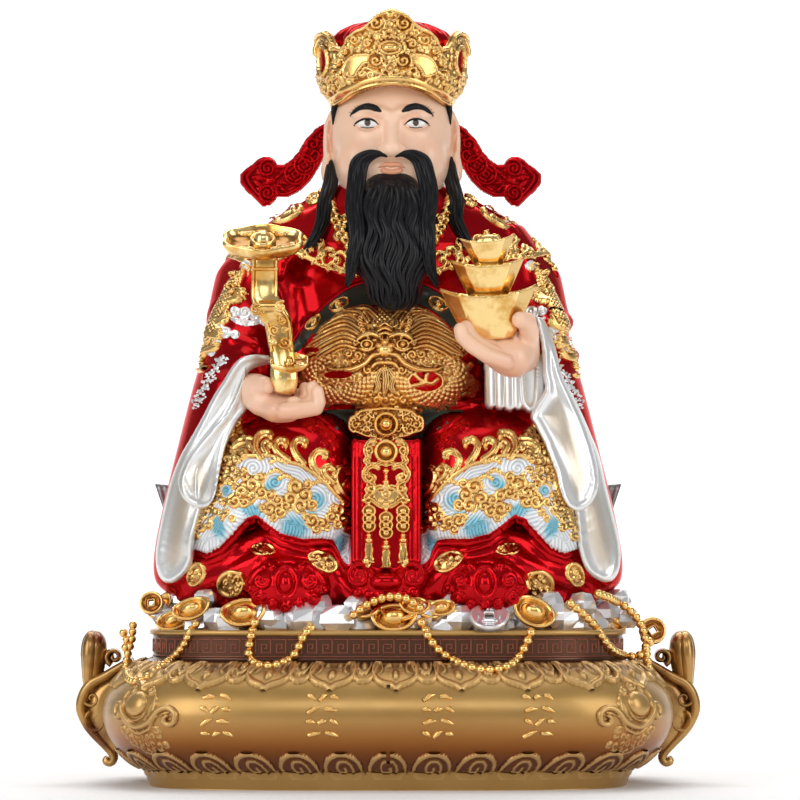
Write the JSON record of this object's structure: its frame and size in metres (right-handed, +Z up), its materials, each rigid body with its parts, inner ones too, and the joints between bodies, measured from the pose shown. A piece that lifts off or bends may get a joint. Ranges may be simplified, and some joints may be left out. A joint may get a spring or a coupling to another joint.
{
  "type": "caishen figure",
  "caption": "Seated god of wealth in red court robes on an oval bronze treasure basin, holding a ruyi sceptre and a stack of gold ingots; a painted resin ornament.",
  "frame": {"origin": "under the middle of the basin's foot, on the ground", "axes": "+Z up, the figure faces -Y, +X is the figure's left"},
  "size_m": [0.3406, 0.2286, 0.42],
  "materials": {
    "bronze": "cast resin painted bronze-gold, brown in the recesses",
    "red_lacquer": "cast resin painted glossy candy red",
    "gold": "cast resin painted bright gold with a brown wash",
    "silver": "cast resin painted pearl silver",
    "flesh": "cast resin painted satin flesh",
    "black_hair": "cast resin painted satin black",
    "green_band": "cast resin painted dark green",
    "wave_paint": "cast resin painted pearl white shaded with teal"
  },
  "bodies": {
    "root": {"treasure_basin": "bronze", "seated_figure": "red_lacquer", "ruyi_sceptre": "gold", "large_ingot": "gold", "middle_ingot": "gold", "small_ingot": "gold", "hat_wing_right": "red_lacquer", "hat_wing_left": "red_lacquer"}
  },
  "joints": []
}
